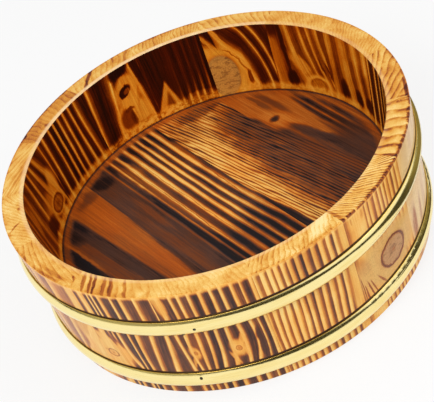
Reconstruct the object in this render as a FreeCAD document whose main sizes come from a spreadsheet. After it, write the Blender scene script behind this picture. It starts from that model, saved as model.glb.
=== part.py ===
import FreeCAD, Part
import math
import os
import Sketcher

Vector = FreeCAD.Vector
Constraint = Sketcher.Constraint

document = FreeCAD.newDocument("sushi_rice_tub")

# Driving sizes, in millimetres and degrees

SIZES = [
    ("rim_diameter", 300.0),
    ("foot_inset", 7.65),
    ("tub_height", 102.4),
    ("well_depth", 57.0),
    ("rim_wall", 16.4),
    ("floor_wall", 20.95),
    ("foot_wall", 18.5),
    ("rim_outer_round", 0.8),
    ("rim_inner_round", 0.8),
    ("foot_chamfer", 1.2),
    ("floor_thickness", 16.0),
    ("floor_edge_chamfer", 0.8),
    ("croze_depth", 6.5),
    ("croze_clearance", 0.2),
    ("grain_angle", 23.0),
    ("hoop_width", 13.4),
    ("hoop_crown", 3.5),
    ("hoop_edge", 0.8),
    ("hoop_edge_round", 0.35),
    ("hoop_seat_clearance", 0.05),
    ("upper_hoop_drop", 25.2),
    ("lower_hoop_drop", 80.2),
    ("peg_diameter", 4.0),
    ("peg_clearance", 0.1),
    ("peg_end_room", 0.5),
    ("stave_peg_length", 24.0),
    ("upper_peg_drop", 24.0),
    ("lower_peg_rise", 10.0),
    ("floor_peg_length", 30.0),
    ("floor_peg_spacing", 120.0),
    ("tack_head_diameter", 2.2),
    ("tack_head_height", 0.9),
    ("tack_head_taper", 0.4),
    ("tack_sink", 0.6),
    ("tack_shank_diameter", 1.2),
    ("tack_length", 8.0),
    ("tack_clearance", 0.05),
    ("first_seam", 8.7),
]

# Width of each stave along the rim, anticlockwise from the first seam
STAVE_WIDTHS = [55.8, 62.6, 60.7, 57.9, 59.7, 62.8, 60.2, 62.8, 66.0, 63.1, 69.9, 69.4, 65.4, 63.4, 62.8]

# Width of each floor board across the grain, from the left edge of the disc
BOARD_WIDTHS = [76.6, 73.5, 51.0, 60.7]

# Each nail: the hoop that it holds, its bearing round the tub and its rise above the hoop's lower edge
TACKS = [
    ("upper", 250.6, 6.6),
    ("upper", 247.0, 1.7),
    ("lower", 245.9, 10.0),
]

STAVE_COUNT = len(STAVE_WIDTHS)
BOARD_COUNT = len(BOARD_WIDTHS)

for number, width in enumerate(STAVE_WIDTHS, 1):
    SIZES.append((f"stave_{number:02d}_width", width))
for number, width in enumerate(BOARD_WIDTHS, 1):
    SIZES.append((f"board_{number}_width", width))
for number, (hoop, bearing, rise) in enumerate(TACKS, 1):
    SIZES.append((f"tack_{number}_bearing", bearing))
    SIZES.append((f"tack_{number}_rise", rise))

sheet = document.addObject("Spreadsheet::Sheet", "Sizes")
for row, (name, size) in enumerate(SIZES, 1):
    sheet.set(f"A{row}", name)
    sheet.set(f"B{row}", str(size))
    sheet.setAlias(f"B{row}", name)
document.recompute()


# Shared formulas, written as expressions on the sheet


def value(expression):
    """The number that an expression on the sheet gives now."""
    result = sheet.evalExpression(expression)
    return float(getattr(result, "Value", result))


RIM = "Sizes.tub_height"
FLOOR_TOP = "(Sizes.tub_height - Sizes.well_depth)"
FLOOR_UNDER = f"({FLOOR_TOP} - Sizes.floor_thickness)"
FOOT_RADIUS = "(Sizes.rim_diameter / 2 - Sizes.foot_inset)"
SKIRT_FOOT_RADIUS = f"({FOOT_RADIUS} - Sizes.foot_wall)"
MOUTH_RADIUS = "(Sizes.rim_diameter / 2 - Sizes.rim_wall)"
WELL_RADIUS = f"({FOOT_RADIUS} + Sizes.foot_inset * {FLOOR_TOP} / Sizes.tub_height - Sizes.floor_wall)"
CROZE_RADIUS = f"({WELL_RADIUS} + Sizes.croze_depth)"
FLOOR_RADIUS = f"({CROZE_RADIUS} - Sizes.croze_clearance)"
PEG_HOLE_RADIUS = "(Sizes.peg_diameter / 2 + Sizes.peg_clearance)"
UPPER_PEG = "(Sizes.tub_height - Sizes.upper_peg_drop)"
LOWER_PEG = "Sizes.lower_peg_rise"
TACK_HOLE_RADIUS = "(Sizes.tack_shank_diameter / 2 + Sizes.tack_clearance)"
TACK_CUP_RADIUS = "(Sizes.tack_head_diameter / 2 + Sizes.tack_clearance)"


def outer_radius(height):
    """Radius of the wall's outside at a height above the base."""
    return f"({FOOT_RADIUS} + Sizes.foot_inset * ({height}) / Sizes.tub_height)"


def bowl_radius(height):
    """Radius of the wall's inside at a height above the floor."""
    flare = f"({MOUTH_RADIUS} - {WELL_RADIUS}) / Sizes.well_depth"
    return f"({WELL_RADIUS} + {flare} * (({height}) - {FLOOR_TOP}))"


def skirt_radius(height):
    """Radius of the wall's inside at a height below the floor."""
    return f"({SKIRT_FOOT_RADIUS} + ({WELL_RADIUS} - {SKIRT_FOOT_RADIUS}) * ({height}) / {FLOOR_TOP})"


def seam_angle(number):
    """Bearing of the seam where a stave starts, in degrees: the widths share out the whole circle."""
    names = [f"Sizes.stave_{index:02d}_width" for index in range(1, STAVE_COUNT + 1)]
    before = " + ".join(["0"] + names[: number - 1])
    return f"(Sizes.first_seam + 360 * ({before}) / ({' + '.join(names)}))"


def board_seam(number):
    """Distance of a floor board's left edge from the tub's axis: the widths share out the disc."""
    names = [f"Sizes.board_{index}_width" for index in range(1, BOARD_COUNT + 1)]
    before = " + ".join(["0"] + names[: number - 1])
    return f"({FLOOR_RADIUS} * (2 * ({before}) / ({' + '.join(names)}) - 1))"


def hoop_foot(hoop):
    """Height of a hoop's lower edge above the base."""
    return f"(Sizes.tub_height - Sizes.{hoop}_hoop_drop - Sizes.hoop_width)"


def hoop_bore(height):
    """Radius of a hoop's inside, which follows the wall's taper."""
    return f"({outer_radius(height)} + Sizes.hoop_seat_clearance)"


HOOP_BULGE = "(Sizes.hoop_crown - Sizes.hoop_edge)"
HOOP_ARC_RADIUS = f"((pow(Sizes.hoop_width / 2; 2) + pow({HOOP_BULGE}; 2)) / (2 * {HOOP_BULGE}))"


def hoop_thickness(rise):
    """Thickness of a hoop at a rise above its lower edge."""
    off_middle = f"(({rise}) - Sizes.hoop_width / 2)"
    return f"(Sizes.hoop_crown - {HOOP_ARC_RADIUS} + sqrt(pow({HOOP_ARC_RADIUS}; 2) - pow({off_middle}; 2)))"


def turned(angle, x, y, z, yaw, pitch):
    """A placement that is laid out on the +X side of the axis and then turned round it."""
    turn = f"placement(vector(0; 0; 0); rotation(vector(0; 0; 1); ({angle}) * 1deg))"
    return f"{turn} * placement(vector({x}; {y}; {z}); rotation({yaw}; {pitch}; 0))"


# Shared building steps


def sketch_on(body, name, role):
    """An empty sketch on one of the body's own origin planes."""
    plane = [feature for feature in body.Origin.OriginFeatures if feature.Role == role][0]
    sketch = body.newObject("Sketcher::SketchObject", name)
    sketch.AttachmentSupport = [(plane, "")]
    sketch.MapMode = "FlatFace"
    return sketch


def drive(sketch, kind, element, point, expression):
    """Hold one coordinate of a sketch's point at an expression."""
    index = sketch.addConstraint(Constraint(kind, -1, 1, element, point, value(expression)))
    sketch.setExpression(f"Constraints[{index}]", expression)


def drive_radius(sketch, element, expression):
    """Hold the radius of a sketch's circle or arc at an expression."""
    index = sketch.addConstraint(Constraint("Radius", element, value(expression)))
    sketch.setExpression(f"Constraints[{index}]", expression)


def outline(sketch, corners):
    """A closed outline of straight lines through corners, each given as two expressions."""
    points = [Vector(value(across), value(up), 0) for across, up in corners]
    count = len(points)
    for index in range(count):
        sketch.addGeometry(Part.LineSegment(points[index], points[(index + 1) % count]))
    for index in range(count):
        sketch.addConstraint(Constraint("Coincident", index, 2, (index + 1) % count, 1))
    for index, (across, up) in enumerate(corners):
        drive(sketch, "DistanceX", index, 1, across)
        drive(sketch, "DistanceY", index, 1, up)


def circles(sketch, centres, radius):
    """Circles of one radius, each with its centre given as two expressions."""
    for index, (across, up) in enumerate(centres):
        centre = Vector(value(across), value(up), 0)
        sketch.addGeometry(Part.Circle(centre, Vector(0, 0, 1), value(radius)))
        drive(sketch, "DistanceX", index, 3, across)
        drive(sketch, "DistanceY", index, 3, up)
        drive_radius(sketch, index, radius)


def ring_edges(shape, radius, height):
    """Names of the circular edges with a given radius at a given height."""
    names = []
    for number, edge in enumerate(shape.Edges, 1):
        curve = edge.Curve
        if not isinstance(curve, Part.Circle) or abs(abs(curve.Axis.z) - 1) > 1e-6:
            continue
        if abs(curve.Radius - radius) < 0.01 and abs(curve.Center.z - height) < 0.01:
            names.append(f"Edge{number}")
    return names


def ease_edges(body, name, kind, rings, size):
    """Round or chamfer the ring edges of the body's last feature."""
    document.recompute()
    base = body.Tip
    names = []
    for radius, height in rings:
        names += ring_edges(base.Shape, value(radius), value(height))
    feature = body.newObject(kind, name)
    feature.Base = (base, names)
    feature.setExpression("Radius" if kind == "PartDesign::Fillet" else "Size", size)
    return feature


def drill(body, name, radius, length, placement):
    """A round hole in a body, along the placement's own Z."""
    hole = body.newObject("PartDesign::SubtractiveCylinder", name)
    hole.setExpression("Radius", radius)
    hole.setExpression("Height", length)
    hole.setExpression("Placement", placement)
    return hole


def peg(name, length, placement):
    """A round bamboo peg along the placement's own Z."""
    cylinder = document.addObject("Part::Cylinder", name)
    cylinder.setExpression("Radius", "Sizes.peg_diameter / 2")
    cylinder.setExpression("Height", length)
    cylinder.setExpression("Placement", placement)
    return cylinder


def group(name, solids):
    """Several like solids kept together as one sub-part."""
    compound = document.addObject("Part::Compound", name)
    compound.Links = solids
    return compound


# Nails that hold the hoops


def tack_seat(number, hoop):
    """Radius at which a nail's head sits, sunk a little into the hoop's face."""
    rise = f"Sizes.tack_{number}_rise"
    height = f"{hoop_foot(hoop)} + {rise}"
    return f"({hoop_bore(height)} + {hoop_thickness(rise)} - Sizes.tack_sink)"


def tack_height(number, hoop):
    """Height of a nail's axis above the base."""
    return f"({hoop_foot(hoop)} + Sizes.tack_{number}_rise)"


def drill_for_tack(body, number, hoop, start_angle):
    """The nail's hole, in a body whose own X axis lies at a start angle round the tub."""
    angle = f"Sizes.tack_{number}_bearing - {start_angle}"
    depth = "(Sizes.tack_length + Sizes.peg_end_room)"
    inner_end = f"{tack_seat(number, hoop)} - {depth}"
    placement = turned(angle, inner_end, "0", tack_height(number, hoop), "0", "90")
    drill(body, f"{body.Name}_tack_hole_{number}", TACK_HOLE_RADIUS, f"{depth} + Sizes.hoop_crown", placement)


# Staves


def make_stave(number):
    """One stave: the tub's wall section turned through the stave's share of the circle."""
    label = f"stave_{number:02d}"
    start = seam_angle(number)
    span = f"({seam_angle(number + 1)} - {start})"
    body = document.addObject("PartDesign::Body", label)

    croze_top = f"({FLOOR_TOP} + Sizes.croze_clearance)"
    section = sketch_on(body, f"{label}_section", "XZ_Plane")
    outline(section, [
        (skirt_radius("0"), "0"),
        (outer_radius("0"), "0"),
        (outer_radius(RIM), RIM),
        (bowl_radius(RIM), RIM),
        (bowl_radius(croze_top), croze_top),
        (CROZE_RADIUS, croze_top),
        (CROZE_RADIUS, FLOOR_UNDER),
        (skirt_radius(FLOOR_UNDER), FLOOR_UNDER),
    ])
    wall = body.newObject("PartDesign::Revolution", f"{label}_wall")
    wall.Profile = section
    wall.ReferenceAxis = (section, ["V_Axis"])
    wall.setExpression("Angle", span)

    ease_edges(body, f"{label}_rim_outside", "PartDesign::Fillet",
               [(outer_radius(RIM), RIM)], "Sizes.rim_outer_round")
    ease_edges(body, f"{label}_rim_inside", "PartDesign::Fillet",
               [(bowl_radius(RIM), RIM)], "Sizes.rim_inner_round")
    ease_edges(body, f"{label}_foot", "PartDesign::Chamfer",
               [(outer_radius("0"), "0"), (skirt_radius("0"), "0")], "Sizes.foot_chamfer")

    marks = sketch_on(body, f"{label}_peg_marks", "XZ_Plane")
    circles(marks, stave_peg_places(), PEG_HOLE_RADIUS)
    holes = body.newObject("PartDesign::Pocket", f"{label}_peg_holes")
    holes.Profile = marks
    holes.Midplane = True
    holes.setExpression("Length", "Sizes.stave_peg_length + Sizes.peg_end_room")
    both_sides = body.newObject("PartDesign::PolarPattern", f"{label}_peg_holes_both_sides")
    both_sides.Originals = [holes]
    both_sides.Axis = (marks, ["V_Axis"])
    both_sides.Occurrences = 2
    both_sides.setExpression("Angle", span)
    body.Tip = both_sides
    document.recompute()

    for index, (hoop, bearing, rise) in enumerate(TACKS, 1):
        if tack_meets_stave(index, start, span):
            drill_for_tack(body, index, hoop, start)

    body.setExpression("Placement", turned(start, "0", "0", "0", "0", "0"))
    return body


def stave_peg_places():
    """Where the pegs cross a seam: half way through the wall, above and below the floor."""
    upper = f"({outer_radius(UPPER_PEG)} + {bowl_radius(UPPER_PEG)}) / 2"
    lower = f"({outer_radius(LOWER_PEG)} + {skirt_radius(LOWER_PEG)}) / 2"
    return [(upper, UPPER_PEG), (lower, LOWER_PEG)]


def tack_meets_stave(number, start, span):
    """Whether a nail's hole reaches into the stave that starts at an angle."""
    half_hole = math.degrees(math.asin(value(TACK_HOLE_RADIUS) / value(outer_radius("0"))))
    past_start = (value(f"Sizes.tack_{number}_bearing") - value(start) + half_hole) % 360
    return past_start < value(span) + 2 * half_hole


def make_stave_pegs():
    """Two bamboo pegs across every seam between staves."""
    pegs = []
    for number in range(1, STAVE_COUNT + 1):
        for level, (radius, height) in enumerate(stave_peg_places(), 1):
            place = turned(seam_angle(number), radius, "-Sizes.stave_peg_length / 2", height, "90", "90")
            pegs.append(peg(f"stave_peg_{number:02d}_{level}", "Sizes.stave_peg_length", place))
    return group("stave_pegs", pegs)


# Floor boards


def make_board(number):
    """One floor board: the part of the floor disc between two straight seams."""
    label = f"floor_board_{number}"
    body = document.addObject("PartDesign::Body", label)
    shape = sketch_on(body, f"{label}_outline", "XY_Plane")
    first, last = number == 1, number == BOARD_COUNT
    board_outline(shape, None if first else board_seam(number), None if last else board_seam(number + 1))
    blank = body.newObject("PartDesign::Pad", f"{label}_blank")
    blank.Profile = shape
    blank.setExpression("Length", "Sizes.floor_thickness")
    ease_edges(body, f"{label}_edge", "PartDesign::Chamfer",
               [(FLOOR_RADIUS, "0"), (FLOOR_RADIUS, "Sizes.floor_thickness")], "Sizes.floor_edge_chamfer")

    joints = []
    if not first:
        joints.append(board_seam(number))
    if not last:
        joints.append(board_seam(number + 1))
    for index, seam in enumerate(joints, 1):
        marks = sketch_on(body, f"{label}_peg_marks_{index}", "YZ_Plane")
        marks.setExpression("AttachmentOffset.Base.z", seam)
        circles(marks, floor_peg_places(), PEG_HOLE_RADIUS)
        holes = body.newObject("PartDesign::Pocket", f"{label}_peg_holes_{index}")
        holes.Profile = marks
        holes.Midplane = True
        holes.setExpression("Length", "Sizes.floor_peg_length + Sizes.peg_end_room")

    body.setExpression("Placement", turned("Sizes.grain_angle", "0", "0", FLOOR_UNDER, "0", "0"))
    return body


def board_outline(sketch, left, right):
    """Arcs of the floor disc closed by a straight seam on the left, on the right or on both sides."""
    radius = value(FLOOR_RADIUS)
    disc = Part.Circle(Vector(0, 0, 0), Vector(0, 0, 1), radius)
    left_angle = math.pi if left is None else math.acos(value(left) / radius)
    right_angle = 0.0 if right is None else math.acos(value(right) / radius)
    if left is None:
        arcs = [(right_angle, 2 * math.pi - right_angle)]
    elif right is None:
        arcs = [(-left_angle, left_angle)]
    else:
        arcs = [(right_angle, left_angle), (-left_angle, -right_angle)]
    for start, end in arcs:
        sketch.addGeometry(Part.ArcOfCircle(disc, start, end))
    count = len(arcs)
    for index in range(count):
        following = sketch.Geometry[(index + 1) % count]
        sketch.addGeometry(Part.LineSegment(sketch.Geometry[index].EndPoint, following.StartPoint))
    for index in range(count):
        sketch.addConstraint(Constraint("Coincident", index, 2, count + index, 1))
        sketch.addConstraint(Constraint("Coincident", count + index, 2, (index + 1) % count, 1))
        sketch.addConstraint(Constraint("Coincident", index, 3, -1, 1))
        sketch.addConstraint(Constraint("Vertical", count + index))
        drive_radius(sketch, index, FLOOR_RADIUS)
    seams = [left, right] if left and right else [left or right]
    for index, seam in enumerate(seams):
        drive(sketch, "DistanceX", count + index, 1, seam)


def floor_peg_places():
    """Where two pegs cross a seam between boards, half way through the floor."""
    middle = "Sizes.floor_thickness / 2"
    return [("-Sizes.floor_peg_spacing / 2", middle), ("Sizes.floor_peg_spacing / 2", middle)]


def make_floor_pegs():
    """Two bamboo pegs across every seam between floor boards."""
    pegs = []
    for number in range(2, BOARD_COUNT + 1):
        for side, (along, rise) in enumerate(floor_peg_places(), 1):
            start = f"{board_seam(number)} - Sizes.floor_peg_length / 2"
            place = turned("Sizes.grain_angle", start, along, f"{FLOOR_UNDER} + {rise}", "0", "90")
            pegs.append(peg(f"floor_peg_{number}_{side}", "Sizes.floor_peg_length", place))
    return group("floor_pegs", pegs)


# Hoops


def make_hoop(hoop):
    """One brass hoop: a flat back on the tapered wall and a domed face, turned full circle."""
    label = f"hoop_{hoop}"
    body = document.addObject("PartDesign::Body", label)
    bottom = hoop_foot(hoop)
    top = f"({bottom} + Sizes.hoop_width)"
    inner_bottom, inner_top = hoop_bore(bottom), hoop_bore(top)
    outer_bottom, outer_top = f"({inner_bottom} + Sizes.hoop_edge)", f"({inner_top} + Sizes.hoop_edge)"

    section = sketch_on(body, f"{label}_section", "XZ_Plane")
    corners = [(outer_top, top), (inner_top, top), (inner_bottom, bottom), (outer_bottom, bottom)]
    points = [Vector(value(across), value(up), 0) for across, up in corners]
    for index in range(3):
        section.addGeometry(Part.LineSegment(points[index], points[index + 1]))
    section.addGeometry(dome(points[3], points[0], value(HOOP_ARC_RADIUS)))
    for index in range(4):
        section.addConstraint(Constraint("Coincident", index, 2, (index + 1) % 4, 1))
        drive(section, "DistanceX", index, 1, corners[index][0])
        drive(section, "DistanceY", index, 1, corners[index][1])
    drive_radius(section, 3, HOOP_ARC_RADIUS)

    band = body.newObject("PartDesign::Revolution", f"{label}_band")
    band.Profile = section
    band.ReferenceAxis = (section, ["V_Axis"])
    band.Angle = 360
    ease_edges(body, f"{label}_edges", "PartDesign::Fillet",
               [(outer_top, top), (outer_bottom, bottom)], "Sizes.hoop_edge_round")

    for number, (held, bearing, rise) in enumerate(TACKS, 1):
        if held == hoop:
            angle = f"Sizes.tack_{number}_bearing"
            cup = turned(angle, tack_seat(number, hoop), "0", tack_height(number, hoop), "0", "90")
            drill(body, f"{label}_cup_{number}", TACK_CUP_RADIUS, "Sizes.hoop_crown", cup)
            drill_for_tack(body, number, hoop, "0")
    return body


def dome(start, end, radius):
    """An arc of a given radius that bulges outwards, from the lower point to the upper one."""
    chord = end - start
    outward = Vector(chord.y, -chord.x, 0).normalize()
    centre = (start + end) * 0.5 - outward * math.sqrt(radius ** 2 - (chord.Length / 2) ** 2)
    first, last = start - centre, end - centre
    circle = Part.Circle(centre, Vector(0, 0, 1), radius)
    return Part.ArcOfCircle(circle, math.atan2(first.y, first.x), math.atan2(last.y, last.x))


def make_tacks():
    """Three nails, each a shank with a flat head that tapers outwards."""
    nails = []
    for number, (hoop, bearing, rise) in enumerate(TACKS, 1):
        seat, height = tack_seat(number, hoop), tack_height(number, hoop)
        angle = f"Sizes.tack_{number}_bearing"
        shank = document.addObject("Part::Cylinder", f"tack_shank_{number}")
        shank.setExpression("Radius", "Sizes.tack_shank_diameter / 2")
        shank.setExpression("Height", "Sizes.tack_length")
        shank.setExpression("Placement", turned(angle, f"{seat} - Sizes.tack_length", "0", height, "0", "90"))
        head = document.addObject("Part::Cone", f"tack_head_{number}")
        head.setExpression("Radius1", "Sizes.tack_head_diameter / 2")
        head.setExpression("Radius2", "Sizes.tack_head_diameter / 2 - Sizes.tack_head_taper")
        head.setExpression("Height", "Sizes.tack_head_height")
        head.setExpression("Placement", turned(angle, seat, "0", height, "0", "90"))
        nail = document.addObject("Part::Fuse", f"tack_{number}")
        nail.Base = head
        nail.Tool = shank
        nails.append(nail)
    return group("hoop_tacks", nails)


# The whole tub

sub_parts = [make_stave(number) for number in range(1, STAVE_COUNT + 1)]
sub_parts += [make_board(number) for number in range(1, BOARD_COUNT + 1)]
sub_parts += [make_hoop("upper"), make_hoop("lower"), make_tacks(), make_stave_pegs(), make_floor_pegs()]
document.recompute()

for item in document.Objects:
    if "Invalid" in item.State or "Error" in item.State:
        raise RuntimeError(f"{item.Name} failed: {item.State}")
for item in sub_parts:
    if item.Shape.isNull() or not item.Shape.isValid():
        raise RuntimeError(f"{item.Label} has no valid shape")

os.makedirs("parts", exist_ok=True)
for item in sub_parts:
    item.Shape.exportStep(f"parts/{item.Label}.step")
    print(item.Label, len(item.Shape.Solids), round(item.Shape.Volume / 1000, 2), "cm3")
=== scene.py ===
import math
import random

import bpy
from mathutils import Matrix, Vector


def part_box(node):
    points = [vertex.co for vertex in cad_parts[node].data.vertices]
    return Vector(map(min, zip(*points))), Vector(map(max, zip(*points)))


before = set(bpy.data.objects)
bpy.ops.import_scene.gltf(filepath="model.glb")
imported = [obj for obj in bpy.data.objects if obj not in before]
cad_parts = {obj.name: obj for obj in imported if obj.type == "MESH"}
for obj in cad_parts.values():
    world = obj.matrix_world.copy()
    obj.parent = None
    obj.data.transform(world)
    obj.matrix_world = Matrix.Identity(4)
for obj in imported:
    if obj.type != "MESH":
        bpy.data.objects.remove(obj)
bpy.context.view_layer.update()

# The staves
# Fifteen softwood staves of uneven width, jointed edge to edge round the floor. Both faces were charred
# with a torch, brushed along the grain until the hard late-wood lines shone through, and lacquered clear.

tub_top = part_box("stave_01")[1].z * 1000
hoop_tops = [tub_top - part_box(name)[1].z * 1000 for name in ("hoop_upper", "hoop_lower")]
staves = [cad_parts[f"stave_{number:02d}"] for number in range(1, 16)]


class Shade:
    """A socket of a material's tree. Arithmetic on it adds Math nodes, and node() adds any other node."""

    def __init__(self, tree, socket=None):
        self.tree, self.socket = tree, socket

    def node(self, kind, settings=None, inputs=None, output=0):
        """Add a node: its settings first, a ramp's stops among them, then values or links for its sockets."""
        made = self.tree.nodes.new("ShaderNode" + kind)
        for name, setting in (settings or {}).items():
            if name != "stops":
                setattr(made, name, setting)
                continue
            elements = made.color_ramp.elements
            for _ in setting[2:]:
                elements.new(0.5)
            for element, (position, colour) in zip(elements, setting):
                element.position = position
                element.color = (*colour, 1.0) if isinstance(colour, tuple) else (colour, colour, colour, 1.0)
        for name, given in (inputs or {}).items():
            if isinstance(given, Shade):
                self.tree.links.new(given.socket, made.inputs[name])
            else:
                made.inputs[name].default_value = given
        return Shade(self.tree, made.outputs[output] if made.outputs else None)

    def math(self, operation, *others):
        return self.node("Math", {"operation": operation}, dict(enumerate((self, *others))))

    def swapped(self, operation, other):
        return self.node("Math", {"operation": operation}, {0: other, 1: self})

    def __add__(self, other):
        return self.math("ADD", other)

    __radd__ = __add__

    def __sub__(self, other):
        return self.math("SUBTRACT", other)

    def __rsub__(self, other):
        return self.swapped("SUBTRACT", other)

    def __mul__(self, other):
        return self.math("MULTIPLY", other)

    __rmul__ = __mul__

    def __truediv__(self, other):
        return self.math("DIVIDE", other)

    def squared(self):
        return self.math("MULTIPLY", self)

    def step(self, start, end):
        """0 before start, 1 after end and smooth between them; start may be the larger."""
        low, high = sorted((start, end))
        inputs = {"Value": self, "From Min": low, "From Max": high}
        if start > end:
            inputs.update({"To Min": 1.0, "To Max": 0.0})
        return self.node("MapRange", {"interpolation_type": "SMOOTHSTEP"}, inputs)

    def towards(self, other, share):
        """This value, moved a share of the way to another."""
        return self.node("Mix", {"data_type": "FLOAT"}, {0: share, 2: self, 3: other})

    def ramp(self, stops, interpolation="LINEAR"):
        ramp = self.node("ValToRGB", {"stops": stops}, {"Fac": self})
        ramp.socket.node.color_ramp.interpolation = interpolation
        return ramp

    def noise(self, y, z, detail=2.0, roughness=0.5):
        """Smooth noise, mostly from 0.3 to 0.7, at a point given by three values."""
        point = self.node("CombineXYZ", {}, {0: self, 1: y, 2: z})
        inputs = {"Vector": point, "Scale": 1.0, "Detail": detail, "Roughness": roughness}
        return self.node("TexNoise", {}, inputs)

    def lot(self, seed):
        """A random value from 0 to 1 for each whole number."""
        point = self.node("CombineXYZ", {}, {0: self, 1: seed})
        return self.node("TexWhiteNoise", {"noise_dimensions": "2D"}, {"Vector": point})

    def tint(self, first, second, blend="MIX"):
        """Mix two colours, with this value as the share of the second."""
        first, second = (c if isinstance(c, Shade) else (*c, 1.0) for c in (first, second))
        return self.node("Mix", {"data_type": "RGBA", "blend_type": blend}, {0: self, 6: first, 7: second}, 2)


def rgb(red, green, blue):
    """A colour given as it looks on a screen, from 0 to 255."""
    values = [channel / 255 for channel in (red, green, blue)]
    return tuple(value / 12.92 if value <= 0.04045 else ((value + 0.055) / 1.055) ** 2.4 for value in values)


def new_finish(name):
    """An empty material, and the surface point's x, y and z in millimetres to build on."""
    material = bpy.data.materials.new(name)
    material.use_nodes = True
    material.node_tree.nodes.clear()
    tree = Shade(material.node_tree)
    point = tree.node("TexCoord", {}, {}, "Object")
    return material, tree, [tree.node("SeparateXYZ", {}, {0: point}, axis) * 1000 for axis in "XYZ"]


def close_finish(tree, inputs, bumps=()):
    """Give the tree its surface. bumps are heights, each with its depth in metres and its strength."""
    normal = None
    for height, depth, strength in bumps:
        bump = {"Height": height, "Distance": depth, "Strength": strength}
        if normal:
            bump["Normal"] = normal
        normal = tree.node("Bump", {}, bump)
    if normal:
        inputs = {**inputs, "Normal": normal}
    tree.node("OutputMaterial", {}, {"Surface": tree.node("BsdfPrincipled", {}, inputs)})


def dress(node, material):
    """Give a piece this material and no other."""
    node.data.materials.clear()
    node.data.materials.append(material)


def facing_up(tree):
    """1 where the surface faces up, 0 where it stands upright, -1 where it faces down."""
    return tree.node("SeparateXYZ", {}, {0: tree.node("NewGeometry", {}, {}, "Normal")}, "Z")


def late_wood(across, along, lines, rows, width, seed, sway):
    """Count the hard late-wood lines from one side of a face: a whole number lies on each line.

    A line is its place across the grain at each of the three rows along it, and its width if it isn't the
    usual one. The lines bend through those places and sway between them, by about sway."""
    reach = [line[row] for line in lines for row in range(3)]
    low, high = min(reach) - 3 * width - sway, max(reach) + 3 * width + sway
    slow = (across * (0.08 / width)).noise(along * 0.022, seed, 1.0) - 0.5
    quick = (across * (0.25 / width)).noise(along * 0.07, seed + 3.3, 1.0) - 0.5
    bent = across + slow * (2.4 * sway) + quick * (0.8 * sway)
    straight = bent
    most = max(abs(line[0] - line[row]) for line in lines for row in (1, 2)) + 0.001
    first, middle, last = rows
    held = along.math("MAXIMUM", min(rows)).math("MINIMUM", max(rows))
    shares = [(held - first) * (held - last) * (2 * most / ((middle - first) * (middle - last))),
              (held - first) * (held - middle) * (2 * most / ((last - first) * (last - middle)))]
    position = (bent - low) / (high - low)
    apart = 0.0005
    for row, share in enumerate(shares, 1):
        stops = [(0.0, 0.5 + (lines[0][0] - lines[0][row]) / (2 * most))]
        for line in lines:
            at = max((line[row] - low) / (high - low), stops[-1][0] + apart)
            stops.append((at, 0.5 + (line[0] - line[row]) / (2 * most)))
        straight = straight + (position.ramp(stops + [(1.0, stops[-1][1])]) - 0.5) * share
    number = len(lines) + 1
    half_count = 0.1
    stops = [(0.0, 0.0)]
    for count, line in enumerate(lines, 1):
        half = (line[3] if len(line) > 3 else width) / 2
        for side in (-1, 1):
            at = (line[0] + side * half - low) / (high - low)
            stops.append((max(at, stops[-1][0] + apart), (count + side * half_count) / number))
    counted = ((straight - low) / (high - low)).ramp(stops + [(1.0, 1.0)]) * number
    return counted, bent, straight


def spot_mask(across, along, spot, soft=0.35):
    """1 inside an ellipse that may lean, 0 outside."""
    x, y, wide, tall, lean = spot[:5]
    rise = along.math("MULTIPLY_ADD", 1 / tall, -y / tall)
    side = across.math("MULTIPLY_ADD", 1 / wide, rise.math("MULTIPLY_ADD", -lean * tall / wide, -x / wide))
    return side.math("MULTIPLY_ADD", side, rise.squared()).step(1 + soft, 1 - soft)


def flame_mask(across, along, flame, soft):
    """1 inside a pointed flame that widens away from its tip along the grain, 0 outside."""
    x, y, low_side, high_side = flame[:4]
    run = along - y
    past_low = (across - x - run * low_side).step(-soft, soft)
    return past_low * (run * high_side + x - across).step(-soft, soft)


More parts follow.
